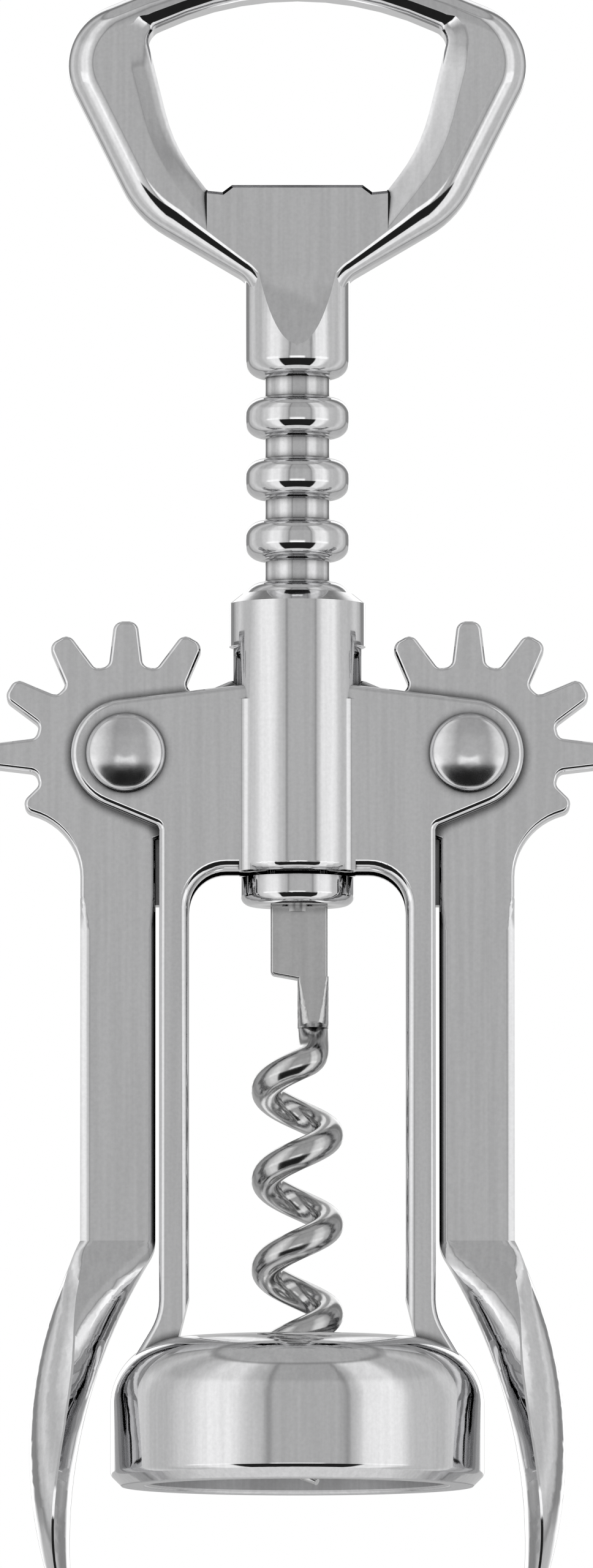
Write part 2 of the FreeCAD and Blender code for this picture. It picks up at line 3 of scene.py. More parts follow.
import bmesh
import bpy
import numpy as np
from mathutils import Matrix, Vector


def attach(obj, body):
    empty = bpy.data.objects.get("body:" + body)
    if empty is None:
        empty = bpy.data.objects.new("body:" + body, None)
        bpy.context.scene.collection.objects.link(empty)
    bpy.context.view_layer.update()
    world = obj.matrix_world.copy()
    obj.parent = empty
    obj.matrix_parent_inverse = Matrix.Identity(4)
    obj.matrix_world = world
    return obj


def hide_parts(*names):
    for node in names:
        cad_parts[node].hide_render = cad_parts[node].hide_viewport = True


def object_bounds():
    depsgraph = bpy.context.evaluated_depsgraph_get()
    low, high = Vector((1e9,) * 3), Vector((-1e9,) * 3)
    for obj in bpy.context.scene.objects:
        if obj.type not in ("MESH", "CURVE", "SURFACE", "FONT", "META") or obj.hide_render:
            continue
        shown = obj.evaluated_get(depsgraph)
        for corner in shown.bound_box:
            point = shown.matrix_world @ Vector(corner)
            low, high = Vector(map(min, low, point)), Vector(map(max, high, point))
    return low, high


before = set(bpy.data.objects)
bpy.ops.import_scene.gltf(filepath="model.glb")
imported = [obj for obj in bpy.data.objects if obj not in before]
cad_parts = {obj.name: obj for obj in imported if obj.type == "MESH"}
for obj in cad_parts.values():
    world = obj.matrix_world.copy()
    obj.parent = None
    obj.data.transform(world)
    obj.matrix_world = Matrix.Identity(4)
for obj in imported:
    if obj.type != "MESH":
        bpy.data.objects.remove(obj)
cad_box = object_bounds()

MM = 0.001
MATH = "ShaderNodeMath"

# Framing: a long lens a little below the middle of the corkscrew
CAMERA_DISTANCE = 2.2
CAMERA_ELEVATION = -4.8
FRAMED_HEIGHT = 161.0 * MM
FRAMED_CENTRE = Vector((-0.09, 0, 72.2)) * MM
SENSOR = 36.0
CLIP = (0.05, 100.0)
FLOOR_RADIUS = 3.0
FLOOR_SIDES = 96
FLOOR_GAP = 0.05 * MM

# The studio that polished metal mirrors. Levels are shares of white, angles are in degrees
STUDIO_PEAK = 1.5
# The room's walls: (azimuth from the front, level)
WALLS = [
    (-174, 0.62), (-170, 1.5), (-160, 1.5), (-150, 0.32), (-138, 0.32), (-126, 0.70), (-114, 0.88), (-100, 0.70),
    (-90, 0.68), (-76, 0.86), (-58, 1.22), (-44, 1.20), (-28, 0.80), (-22, 0.68), (-18, 0.42), (-14, 0.60),
    (24, 0.60), (28, 0.56), (31, 0.42), (35, 0.72), (44, 1.16), (62, 1.22), (78, 0.74), (100, 0.70), (114, 0.88),
    (126, 0.70), (138, 0.32), (150, 0.32), (160, 1.5), (170, 1.5), (174, 0.62)]
# How much of the walls' light is left: (elevation, share)
WALL_FADE = [(24, 1.0), (34, 0.85), (90, 0.85)]
# Panels before the walls, each in front of the last: level, cover as (elevation, share), and where it
# doesn't go all round, cover as (azimuth to either side of the front, share)
PANELS = {
    "ceiling": (0.55, [(60, 0.0), (65, 1.0)], None),
    "ceiling_edge": (0.32, [(57, 0.0), (61, 0.8), (65, 0.0)], None),
    "bright_strips": (1.45, [(-15, 0.0), (-13, 1.0), (-4.5, 1.0), (-0.5, 0.0)],
                      [(14, 1.0), (19, 0.0), (38, 0.0), (46, 1.0), (66, 1.0), (76, 0.0)]),
    "low_back_wall": (0.6, [(-44, 0.0), (-40, 1.0), (-3, 1.0), (1, 0.0)], [(134, 0.0), (142, 1.0)]),
    "dark_apron": (0.02, [(-59, 0.0), (-57, 1.0), (-15, 1.0), (-13, 0.0)], [(40, 1.0), (44, 0.0)]),
    "pale_table": (0.9, [(-59, 1.0), (-57, 0.0)], None)}

# Metals: what part of a noise pattern's swing is used, and how dark the marks in it get
NOISE_LOW, NOISE_HIGH = 0.3, 0.7
LINE_LOW, LINE_HIGH = 0.35, 0.65
PIT_TONE = 0.93
LINE_TONE = 0.92
LINE_STRETCH = 0.03
# Painted shade in crevices: how far it looks round for walls, in millimetres, and how open a fully shaded and an
# unshaded place are
CREVICE_SHADE_REACH = 1.5
CREVICE_SHADE_SAMPLES = 8
CREVICE_SHADED, CREVICE_UNSHADED = 0.55, 0.85

# Polished surfaces: angles in degrees, widths in millimetres
ROUND_ANGLE = 24.0
FLAT_ANGLE = 0.1
BROAD_WIDTH = 0.8
BROAD_EDGE_ANGLE = 13.0
# Lengths that a division counts as nothing
TINY, NO_RIM = 1e-12, 1e-9
# How near vertices lie that are one, in metres: at a seam, between a solid's layers, on a rolled-up grid
SEAM, LAYER_SEAM, ROLLED_SEAM = 1e-7, 1e-8, 1e-6
# How far a cutter stands out of what it cuts, in millimetres
CLEAR = 1.0

# Rack rod, in millimetres
RACK_PITCH = 6.35
RACK_RINGS = 8
RACK_FIRST_RING = 65.475
RING_RADIUS = 5.4
RING_CROWN = 1.8
RING_FLAT = 0.25
RING_HALF_HEIGHT = 2.2
ROD_RADIUS = 3.35
ROD_BOTTOM = 62.6
ROD_TOP = RACK_FIRST_RING + (RACK_RINGS - 0.5) * RACK_PITCH
ROD_SIDES = 96
CROWN_STEPS = 24
PIN_RADIUS = 0.8
PIN_HEIGHT = 68.65
PIN_SIDES = 32

# Neck, in millimetres
NECK_TOP = 124.2
NECK_FOOT = 114.0
NECK_FOOT_ROUND = 2.0
NECK_FOOT_STEPS = 10
NECK_FLAT_TOP = 125.0
NECK_FLAT_DEPTH = 3.59
NECK_FLAT_SLOPE = 0.228

# Cap-lifter head, in millimetres: corners as (half width, height above the neck's top, round)
HEAD_OUTLINE = [(4.7, -6.0, 0), (4.7, -0.4, 2.6), (16.45, 6.3, 11.0), (25.9, 25.2, 6.5), (0, 37.3, 46.0)]
OPENING = [(12.65, 13.4, 18.0), (14.782, 22.0, 0), (15.6, 25.3, 1.6), (0, 32.6, 33.0)]
LIP = [(6.7, 9.5, 0), (7.7, 8.75, 0), (9.2, 8.9, 0)]
LIP_END = 10.0
BEVEL_FOOT = [(7.0, 6.1, 0)]
HEAD_HALF = 3.6
HEAD_ROUND = 3.0
NECK_ROUND = 1.62
ROUND_GROWS = (1.2, 3.4)
ROUND_STEPS = 12
CORNER_STEP = 5.0
WEB_HALF = 9.3
WEB_TOP = 10.5
WEB_DEPTH = 20.0
# Edges of the opening, each as nine steps of (distance from its wall, depth under the face)
ARM_BEVEL = [(2.7, 0), (2.5, 0.03), (2.2, 0.115), (1.6, 0.297), (1.0, 0.478), (0.45, 0.645), (0.2, 0.745),
             (-0.3, 0.96), (-1.0, 1.4)]
CORNER_EASE = [(2.5, 0), (2.3, 0.02), (2.0, 0.072), (1.5, 0.166), (0.95, 0.27), (0.45, 0.37), (0.2, 0.46),
               (-0.1, 0.8), (-0.4, 1.45)]
BAR_ROUND = [(1.75, 0), (1.55, 0.02), (1.38, 0.065), (1.05, 0.175), (0.75, 0.31), (0.5, 0.45), (0.25, 0.7),
             (0.06, 1.1), (-0.1, 1.45)]
LIP_EASE = [(0.3, 0), (0.3, 0), (0.3, 0), (0.3, 0), (0.25, 0.05), (0.2, 0.1), (0.1, 0.2), (0, 0.3), (0, 1.6)]
STRAIGHT_WALL = [(0, depth) for _, depth in LIP_EASE]
# The arms' bevel turns into the corner's ease from this height on, and the corner's ease into the bar's
# round from where the wall faces up this much, each over its span
CORNER_START, CORNER_SPAN = 22.0, 2.0
BAR_START, BAR_SPAN = 0.7, 0.15

# Rivets, in millimetres: head and tail as (radius, height, radius of the dome)
RIVET_PLACE = (17.6, 75.0)
RIVET_RADIUS = 2.2
RIVET_HEAD = (4.1, 2.2, 8.0)
RIVET_TAIL = (3.2, 1.0, 8.0)
RIVET_SIDES = 60
DOME_STEPS = (0.1, 0.25, 0.4, 0.52, 0.64, 0.74, 0.82, 0.88)
RIM_STEPS = 6
RIM_START = math.radians(20)
CASTING_HALF = 4.6

# Bell, in millimetres
BELL_RADIUS = 19.15
SHOULDER_ROUND = 6.9
SHOULDER_HEIGHT = 8.25
BELL_CUTS = 3
FOOT_HEIGHT = 1.15
FOOT_EASE = 0.32
FOOT_STEPS = 5
FOOT_FACE = 0.1
MOUTH_RADIUS = 15.6
MOUTH_ROOF = 11.8
# How near a vertex of the CAD bell has to lie to a round or an edge to be a part of it
NEAR = 0.01
NEAR_FOOT = (0.05, 0.02)
NEAR_ROUND = 0.012

# Worm, in millimetres and degrees
WIRE_RADIUS = 1.55
WIRE_SIDES = 32
WORM_RADIUS = 3.2
WORM_PITCH = 9.2
WORM_STEPS = 180
WORM_LEFT_HEIGHT = 40.7
WORM_TIP_HEIGHT = 0.6
WORM_TIP_RADIUS = 0.35
WORM_TAPER = 270.0
BEND_ANGLE = 285.0
BEND_REACH = 1.5
BEND_STEPS = 20
BEND_RESOLUTION = 64
NECK_OFFSET = 1.6
NECK_BOTTOM = 47.0
NECK_REACH = 2.3
# The wire starts inside the shank: where the shank is cut, in millimetres above the neck's bottom, and
# how far the wire goes up, as a share of its radius
SHANK_CUT = 0.05
NECK_OVERLAP = 0.3


def linear(hex_colour):
    """An sRGB hex colour as the linear RGB that shaders take."""
    values = [int(hex_colour[i:i + 2], 16) / 255 for i in (1, 3, 5)]
    return [v / 12.92 if v <= 0.04045 else ((v + 0.055) / 1.055) ** 2.4 for v in values]


def add(tree, kind, inputs=(), stops=(), **settings):
    """Adds a node, sets its properties, and fills its sockets by name, or in order, with values or links.
    A node given as a value stands for its first output. Stops are a colour ramp's (position, grey)."""
    node = tree.nodes.new(kind)
    for key, value in settings.items():
        setattr(node, key, value)
    if not isinstance(inputs, dict):
        in_use = [i for i, socket in enumerate(node.inputs) if socket.enabled]
        inputs = dict(zip(in_use, inputs))
    for key, value in inputs.items():
        if isinstance(value, bpy.types.Node):
            value = next(socket for socket in value.outputs if socket.enabled)
        if isinstance(value, bpy.types.NodeSocket):
            tree.links.new(value, node.inputs[key])
        else:
            node.inputs[key].default_value = value
    if stops:
        node.color_ramp.interpolation = "EASE"
        elements = node.color_ramp.elements
        while len(elements) < len(stops):
            elements.new(0.5)
        for element, (position, grey) in zip(elements, stops):
            element.position = position
            element.color = (grey, grey, grey, 1)
    return node


# Camera, world and floor --------------------------------------------------------

def place_camera():
    data = bpy.data.cameras.new("camera")
    data.sensor_width = SENSOR
    data.lens = SENSOR * CAMERA_DISTANCE / FRAMED_HEIGHT
    data.clip_start, data.clip_end = CLIP
    camera = bpy.data.objects.new("camera", data)
    bpy.context.scene.collection.objects.link(camera)
    rise = math.radians(CAMERA_ELEVATION)
    away = Vector((0, -math.cos(rise), math.sin(rise)))
    camera.location = FRAMED_CENTRE + away * CAMERA_DISTANCE
    camera.rotation_euler = (-away).to_track_quat("-Z", "Y").to_euler()
    bpy.context.scene.camera = camera


def light_studio():
    """White all round for the eye and the floor; polished metal mirrors a studio of soft panels, with
    bright strips just under the horizon, a dark apron under them in front, and a pale table beneath."""
    world = bpy.data.worlds.new("studio")
    world.use_nodes = True
    tree = world.node_tree
    tree.nodes.clear()
    direction = add(tree, "ShaderNodeTexCoord").outputs["Generated"]
    x, y, z = add(tree, "ShaderNodeSeparateXYZ", [direction]).outputs
    forwards = add(tree, MATH, [y, -1.0], operation="MULTIPLY")
    azimuth = add(tree, MATH, [x, forwards], operation="ARCTAN2")
    # Where a direction lies on the ramps: right round, from the front to the back, and from ground to zenith
    around = add(tree, MATH, [azimuth, 0.5 / math.pi, 0.5], operation="MULTIPLY_ADD")
    to_side = add(tree, MATH, [azimuth], operation="ABSOLUTE")
    to_back = add(tree, MATH, [to_side, math.pi], operation="DIVIDE")
    upwards = add(tree, MATH, [z, 0.5, 0.5], operation="MULTIPLY_ADD")

    def by_height(stops):
        """Stops at elevations in degrees, as places on the ramp from ground to zenith."""
        return [(0.5 + 0.5 * math.sin(math.radians(elevation)), share) for elevation, share in stops]

    walls = add(tree, "ShaderNodeValToRGB", [around], [(0.5 + a / 360, level / STUDIO_PEAK) for a, level in WALLS])
    fade = add(tree, "ShaderNodeValToRGB", [upwards], by_height(WALL_FADE))
    room = add(tree, "ShaderNodeVectorMath", [walls, fade], operation="MULTIPLY")
    for level, heights, widths in PANELS.values():
        cover = add(tree, "ShaderNodeValToRGB", [upwards], by_height(heights))
        if widths:
            across = add(tree, "ShaderNodeValToRGB", [to_back], [(a / 180, share) for a, share in widths])
            cover = add(tree, MATH, [cover, across], operation="MULTIPLY")
        grey = level / STUDIO_PEAK
        room = add(tree, "ShaderNodeMix", [cover, room, (grey, grey, grey, 1)], data_type="RGBA")
    mirrored_studio = add(tree, "ShaderNodeBackground", {"Color": room, "Strength": STUDIO_PEAK})
    plain_white = add(tree, "ShaderNodeBackground", {"Color": (1, 1, 1, 1), "Strength": 1.0})
    is_mirrored = add(tree, "ShaderNodeLightPath").outputs["Is Glossy Ray"]
    sky = add(tree, "ShaderNodeMixShader", [is_mirrored, plain_white, mirrored_studio])
    add(tree, "ShaderNodeOutputWorld", {"Surface": sky})
    bpy.context.scene.world = world


def lay_floor(height):
    """A pale floor under the wings' tips, seen from above only."""
    bm = bmesh.new()
    bmesh.ops.create_circle(bm, cap_ends=True, segments=FLOOR_SIDES, radius=FLOOR_RADIUS)
    bmesh.ops.translate(bm, verts=bm.verts, vec=(0, 0, height))
    mesh = bpy.data.meshes.new("floor")
    bm.to_mesh(mesh)
    bm.free()
    floor = bpy.data.objects.new("floor", mesh)
    bpy.context.scene.collection.objects.link(floor)
    material = bpy.data.materials.new("pale_paper")
    material.use_nodes = True
    tree = material.node_tree
    tree.nodes.clear()
    paper = add(tree, "ShaderNodeBsdfDiffuse", {"Color": (1, 1, 1, 1)})
    clear = add(tree, "ShaderNodeBsdfTransparent")
    from_below = add(tree, "ShaderNodeNewGeometry").outputs["Backfacing"]
    surface = add(tree, "ShaderNodeMixShader", [from_below, paper, clear])
    add(tree, "ShaderNodeOutputMaterial", {"Surface": surface})
    mesh.materials.append(material)
    floor.visible_glossy = False


# Materials ----------------------------------------------------------------------

def metal(name, colour, roughness, haze, roll, grain, mop, crevice_shade, cast_skin=None):
    """A bright metal. Haze, roll and grain are each an amount and the size in millimetres over which it
    comes and goes: haze drifts the roughness, roll waves the surface and grain pits it. Mop is how far
    apart the faint upright polishing lines lie. The pits and the lines are drawn coarser than they are,
    so that they show. The crevice amount is painted shade: how much the colour darkens in crevices and
    between parts, found by ambient occlusion. Where cast_skin's mask is 1, the surface has cast_skin's roughness."""
    material = bpy.data.materials.new(name)
    material.use_nodes = True
    tree = material.node_tree
    tree.nodes.clear()
    place = add(tree, "ShaderNodeTexCoord").outputs["Object"]
    amount, size = haze
    cloud = add(tree, "ShaderNodeTexNoise", {"Vector": place, "Scale": 1 / (size * MM), "Detail": 4.0})
    gloss = add(tree, "ShaderNodeMapRange", {
        "Value": cloud, "From Min": NOISE_LOW, "From Max": NOISE_HIGH,
        "To Min": roughness - amount, "To Max": roughness + amount})
    if cast_skin:
        mask, skin_roughness = cast_skin
        gloss = add(tree, "ShaderNodeMix", [mask(tree, place), gloss, skin_roughness])

    # Painted shade: the colour darkens in crevices and between parts, where ambient occlusion finds walls close by
    crevice = add(tree, "ShaderNodeAmbientOcclusion", {"Distance": CREVICE_SHADE_REACH * MM}, samples=CREVICE_SHADE_SAMPLES)
    painted_shade_tone = add(tree, "ShaderNodeMapRange", {
        "Value": crevice.outputs["AO"], "From Min": CREVICE_SHADED, "From Max": CREVICE_UNSHADED,
        "To Min": 1 - crevice_shade, "To Max": 1.0})
    depth, size = grain
    pits = add(tree, "ShaderNodeTexNoise", {"Vector": place, "Scale": 1 / (size * MM), "Detail": 2.0})
    pit_tone = add(tree, "ShaderNodeMapRange", {
        "Value": pits, "From Min": NOISE_LOW, "From Max": NOISE_HIGH, "To Min": PIT_TONE, "To Max": 1.0})
    across = 1 / (mop * MM)
    upright = add(tree, "ShaderNodeMapping", {"Vector": place, "Scale": (across, across, across * LINE_STRETCH)})
    lines = add(tree, "ShaderNodeTexNoise", {"Vector": upright, "Scale": 1.0, "Detail": 2.0})
    line_tone = add(tree, "ShaderNodeMapRange", {
        "Value": lines, "From Min": LINE_LOW, "From Max": LINE_HIGH, "To Min": LINE_TONE, "To Max": 1.0})
    tone = add(tree, MATH, [painted_shade_tone, pit_tone], operation="MULTIPLY")
    tone = add(tree, MATH, [tone, line_tone], operation="MULTIPLY")
    tint = add(tree, "ShaderNodeVectorMath", [linear(colour), tone], operation="SCALE")

    height, size = roll
    wave = add(tree, "ShaderNodeTexNoise", {"Vector": place, "Scale": 1 / (size * MM), "Detail": 1.0})
    rolled = add(tree, "ShaderNodeBump", {"Height": wave, "Distance": height * MM})
    pitted = add(tree, "ShaderNodeBump", {"Height": pits, "Distance": depth * MM, "Normal": rolled})
    shader = add(tree, "ShaderNodeBsdfPrincipled", {
        "Base Color": tint, "Metallic": 1.0, "Roughness": gloss, "Normal": pitted})
    add(tree, "ShaderNodeOutputMaterial", {"Surface": shader})
    return material


def in_mouth(tree, place):
    """1 inside the bell's mouth, which the bottle's neck enters, and under its foot; elsewhere 0."""
    x, y, z = add(tree, "ShaderNodeSeparateXYZ", [place]).outputs
    level = add(tree, "ShaderNodeCombineXYZ", [x, y])
    out = add(tree, "ShaderNodeVectorMath", [level], operation="LENGTH")
    within = add(tree, MATH, [out, MOUTH_RADIUS * MM], operation="LESS_THAN")
    below = add(tree, MATH, [z, MOUTH_ROOF * MM], operation="LESS_THAN")
    mouth = add(tree, MATH, [within, below], operation="MULTIPLY")
    under_bell = add(tree, MATH, [out, BELL_RADIUS * MM], operation="LESS_THAN")
    at_foot = add(tree, MATH, [z, FOOT_FACE * MM], operation="LESS_THAN")
    foot = add(tree, MATH, [under_bell, at_foot], operation="MULTIPLY")
    return add(tree, MATH, [mouth, foot], operation="MAXIMUM")


# Surfaces -----------------------------------------------------------------------

def flat_regions(corners, places, normals, areas):
    """The area and the mean width of the flat region that each triangle belongs to."""
    edges = np.sort(np.concatenate([corners[:, [0, 1]], corners[:, [1, 2]], corners[:, [2, 0]]]), axis=1)
    lengths = np.linalg.norm(places[edges[:, 0]] - places[edges[:, 1]], axis=1)
    faces = np.tile(np.arange(len(corners)), 3)
    keys = edges[:, 0].astype(np.int64) * (corners.max() + 1) + edges[:, 1]
    order = np.argsort(keys, kind="stable")
    same = keys[order][1:] == keys[order][:-1]
    one, other, shared = faces[order][:-1][same], faces[order][1:][same], lengths[order][1:][same]
    level = (normals[one] * normals[other]).sum(axis=1) > math.cos(math.radians(FLAT_ANGLE))
    one, other, shared = one[level], other[level], shared[level]
    # Each triangle takes the lowest number in its region
    label = np.arange(len(corners))
    while True:
        lowest = np.minimum(label[one], label[other])
        joined = label.copy()
        np.minimum.at(joined, one, lowest)
        np.minimum.at(joined, other, lowest)
        joined = joined[joined]
        if (joined == label).all():
            break
        label = joined
    area = np.bincount(label, weights=areas, minlength=len(label))[label]
    rim = np.bincount(label[faces], weights=lengths, minlength=len(label))
    rim -= np.bincount(label[one], weights=2 * shared, minlength=len(label))
    return area, 2 * area / np.maximum(rim[label], NO_RIM)


def polish(mesh):
    """Gives each corner the normal of the surface it lies on, so that flats stay flat, rounds stay
    round and real edges stay crisp."""
    corners = np.empty(len(mesh.loops), np.int32)
    mesh.loops.foreach_get("vertex_index", corners)
    places = np.empty(len(mesh.vertices) * 3, np.float32)
    mesh.vertices.foreach_get("co", places)
    corners = corners.reshape(-1, 3)
    places = places.reshape(-1, 3).astype(float) / MM
    p = places[corners]
    normals = np.cross(p[:, 1] - p[:, 0], p[:, 2] - p[:, 0])
    doubled = np.maximum(np.linalg.norm(normals, axis=1), TINY)
    normals /= doubled[:, None]
    region, width = flat_regions(corners, places, normals, doubled / 2)
    before, after = np.roll(p, 1, axis=1) - p, np.roll(p, -1, axis=1) - p
    lengths = np.linalg.norm(before, axis=2) * np.linalg.norm(after, axis=2)
    opening = np.arccos(np.clip((before * after).sum(axis=2) / np.maximum(lengths, TINY), -1, 1))
    weight = (opening * region[:, None]).ravel()

    # Every pair of triangle corners that meet in a vertex
    flat = corners.ravel()
    order = np.argsort(flat, kind="stable")
    count = np.bincount(flat)
    start = np.concatenate([[0], np.cumsum(count)[:-1]])
    size = count[flat[order]]
    first = np.repeat(order, size)
    step = np.arange(size.sum()) - np.repeat(np.cumsum(size) - size, size)
    second = order[np.repeat(start[flat[order]], size) + step]
    one, other = first // 3, second // 3
    # The edge between two triangles is polished over if it is blunt, and blunter still beside a broad flat
    alike = (normals[one] * normals[other]).sum(axis=1)
    broad = np.maximum(width[one], width[other]) > BROAD_WIDTH
    limit = np.where(broad, math.cos(math.radians(BROAD_EDGE_ANGLE)), math.cos(math.radians(ROUND_ANGLE)))
    keep = (alike > limit) | (one == other)
    first, second = first[keep], second[keep]
    total = np.stack([np.bincount(first, weights=weight[second] * normals[second // 3, axis],
                                  minlength=len(flat)) for axis in range(3)], axis=1)
    total /= np.maximum(np.linalg.norm(total, axis=1), TINY)[:, None]
    mesh.shade_smooth()
    mesh.normals_split_custom_set(total.tolist())


def finished_piece(bm, name, material):
    """Closes a mesh's seams, splits it into triangles, polishes it and makes it an object."""
    bmesh.ops.remove_doubles(bm, verts=bm.verts, dist=SEAM)
    bmesh.ops.triangulate(bm, faces=bm.faces)
    mesh = bpy.data.meshes.new(name)
    bm.to_mesh(mesh)
    bm.free()
    polish(mesh)
    mesh.materials.append(material)
    piece = bpy.data.objects.new(name, mesh)
    bpy.context.scene.collection.objects.link(piece)
    return piece


def node_mesh(node, above=None):
    """A closed copy of a CAD node, or of its part above a height in millimetres."""
    bm = bmesh.new()
    bm.from_mesh(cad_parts[node].data)
    bmesh.ops.remove_doubles(bm, verts=bm.verts, dist=SEAM)
    if above is not None:
        cut = bmesh.ops.bisect_plane(bm, geom=bm.verts[:] + bm.edges[:] + bm.faces[:],
                                     plane_co=(0, 0, above * MM), plane_no=(0, 0, 1), clear_inner=True)
        rim = [e for e in cut["geom_cut"] if isinstance(e, bmesh.types.BMEdge)]
        bmesh.ops.holes_fill(bm, edges=rim)
    return bm


def turn_bell(bm):
    """Turns the bell's wall and shoulder to their true rounds, in finer facets."""
    centre = BELL_RADIUS - SHOULDER_ROUND

    def off_round(vert):
        """How far out a vertex lies, how far above the shoulder's centre, and its share of the round."""
        out = math.hypot(vert.co.x, vert.co.y) / MM
        rise = max(vert.co.z / MM - SHOULDER_HEIGHT, 0)
        return out, rise, math.hypot(out - centre, rise) / SHOULDER_ROUND

    def on_round(vert):
        out, rise, share = off_round(vert)
        return vert.co.z / MM > FOOT_HEIGHT - NEAR and out > centre + NEAR and abs(share - 1) < NEAR_ROUND

    faces = [f for f in bm.faces if all(on_round(v) for v in f.verts)]
    # Each edge once, and in the same order each run
    edges = list(dict.fromkeys(e for f in faces for e in f.edges))
    bmesh.ops.subdivide_edges(bm, edges=edges, cuts=BELL_CUTS, use_grid_fill=True)
    for vert in bm.verts:
        if on_round(vert):
            out, rise, share = off_round(vert)
            grown = (centre + (out - centre) / share) / out
            vert.co = (vert.co.x * grown, vert.co.y * grown, vert.co.z + (rise / share - rise) * MM)
    return bm


def ease_foot(bm):
    """Rounds the edge between the bell's wall and the bevel of its foot, as polishing leaves it."""
    def on_edge(vert):
        off_wall = abs(math.hypot(vert.co.x, vert.co.y) / MM - BELL_RADIUS)
        return off_wall < NEAR_FOOT[0] and abs(vert.co.z / MM - FOOT_HEIGHT) < NEAR_FOOT[1]

    edges = [e for e in bm.edges if on_edge(e.verts[0]) and on_edge(e.verts[1])]
    bmesh.ops.bevel(bm, geom=edges, offset=FOOT_EASE * MM, segments=FOOT_STEPS, profile=0.5, affect="EDGES")
    return bm


# Cap-lifter head and rivets ---------------------------------------------------------

def rounded_loop(corners):
    """Points round a mirrored outline of (half width, height above the neck's top, round) corners."""
    full = corners + [(-x, z, r) for x, z, r in reversed(corners) if x > 0]
    points = []
    for i, (x, z, r) in enumerate(full):
        corner = Vector((x, z))
        if not r:
            points.append(corner)
            continue
        back = (Vector(full[i - 1][:2]) - corner).normalized()
        on = (Vector(full[(i + 1) % len(full)][:2]) - corner).normalized()
        half = back.angle(on) / 2
        reach = r / math.tan(half)
        centre = corner + (back + on).normalized() * (r / math.sin(half))
        start, end = corner + back * reach - centre, corner + on * reach - centre
        sweep = end.angle_signed(start)
        count = max(3, round(abs(math.degrees(sweep)) / CORNER_STEP))
        for k in range(count + 1):
            c, w = math.cos(sweep * k / count), math.sin(sweep * k / count)
            points.append(centre + Vector((start.x * c - start.y * w, start.x * w + start.y * c)))
    return points


def outward(points):
    """The mitred outward direction at each point of a counter-clockwise loop."""
    ways = []
    for i, p in enumerate(points):
        u = (p - points[i - 1]).normalized()
        w = (points[(i + 1) % len(points)] - p).normalized()
        total = Vector((u.y + w.y, -u.x - w.x))
        ways.append(total / (1 + u.dot(w)))
    return ways


def stacked_solid(layers):
    """A closed solid through loops of equal length, each a list of (x, y, z) in millimetres."""
    bm = bmesh.new()
    rings = [[bm.verts.new(Vector(p) * MM) for p in layer] for layer in layers]
    for low, high in zip(rings, rings[1:]):
        for i in range(len(low)):
            j = (i + 1) % len(low)
            bm.faces.new((low[i], low[j], high[j], high[i]))
    bm.faces.new(rings[0])
    bm.faces.new(rings[-1])
    bmesh.ops.remove_doubles(bm, verts=bm.verts, dist=LAYER_SEAM)
    bmesh.ops.recalc_face_normals(bm, faces=bm.faces)
    return bm


def through_head(half):
    """A solid through the head, from loops of (point, depth) that run from the front face inwards."""
    front = [[(p.x, -y, NECK_TOP + p.y) for p, y in layer] for layer in half]
    back = [[(p.x, y, NECK_TOP + p.y) for p, y in layer] for layer in reversed(half)]
    return stacked_solid(front + back)


def cut_or_joined(body, others, operation):
    """A closed mesh cut by others, or joined with them."""
    def placed(bm):
        mesh = bpy.data.meshes.new("blank")
        bmesh.ops.triangulate(bm, faces=bm.faces)
        bm.to_mesh(mesh)
        bm.free()
        blank = bpy.data.objects.new("blank", mesh)
        bpy.context.scene.collection.objects.link(blank)
        return blank

    blank = placed(body)
    tools = [placed(other) for other in others]
    for tool in tools:
        cut = blank.modifiers.new("cut", "BOOLEAN")
        cut.operation, cut.solver, cut.object = operation, "EXACT", tool
    mesh = bpy.data.meshes.new_from_object(blank.evaluated_get(bpy.context.evaluated_depsgraph_get()))
    for thing in [blank] + tools:
        bpy.data.objects.remove(thing)
    result = bmesh.new()
    result.from_mesh(mesh)
    bpy.data.meshes.remove(mesh)
    return result


def head_plate():
    """The head without its opening: flat faces between deep rounds, which grow out of the neck."""
    outline = rounded_loop(HEAD_OUTLINE)
    ways = outward(outline)
    low, high = ROUND_GROWS
    rounds = []
    for p in outline:
        share = min(max((p.y - low) / (high - low), 0), 1)
        rounds.append(NECK_ROUND + (HEAD_ROUND - NECK_ROUND) * share * share * (3 - 2 * share))
    half = []
    for k in range(ROUND_STEPS + 1):
        bend = math.radians(90 * k / ROUND_STEPS)
        half.append([(p + way * -r * (1 - math.sin(bend)), HEAD_HALF - r * (1 - math.cos(bend)))
                     for p, way, r in zip(outline, ways, rounds)])
    return through_head(half)


def round_neck():
    """The round neck, from the rod's end and the rounded foot up into the head."""
    steps = [(ROD_RADIUS, ROD_TOP), (ROD_RADIUS, NECK_FOOT)]
    for k in range(NECK_FOOT_STEPS + 1):
        bend = math.radians(90 * k / NECK_FOOT_STEPS)
        steps.append((RING_RADIUS - NECK_FOOT_ROUND * (1 - math.sin(bend)),
                      NECK_FOOT + NECK_FOOT_ROUND * (1 - math.cos(bend))))
    steps.append((RING_RADIUS, NECK_FLAT_TOP))
    turns = [math.radians(360 * (i + 0.5) / ROD_SIDES) for i in range(ROD_SIDES)]
    return stacked_solid([[(r * math.cos(turn), r * math.sin(turn), z) for turn in turns] for r, z in steps])


def neck_flat(side):
    """What the sloping flat on one side takes off the neck, so that it runs out into the head's face."""
    above, out = NECK_FLAT_TOP + CLEAR, RING_RADIUS + CLEAR
    below = NECK_FLAT_TOP - (out - NECK_FLAT_DEPTH) / NECK_FLAT_SLOPE
    profile = [(NECK_FLAT_DEPTH - NECK_FLAT_SLOPE * CLEAR, above), (out, above), (out, below)]
    return stacked_solid([[(x, side * y, z) for y, z in profile] for x in (-out, out)])


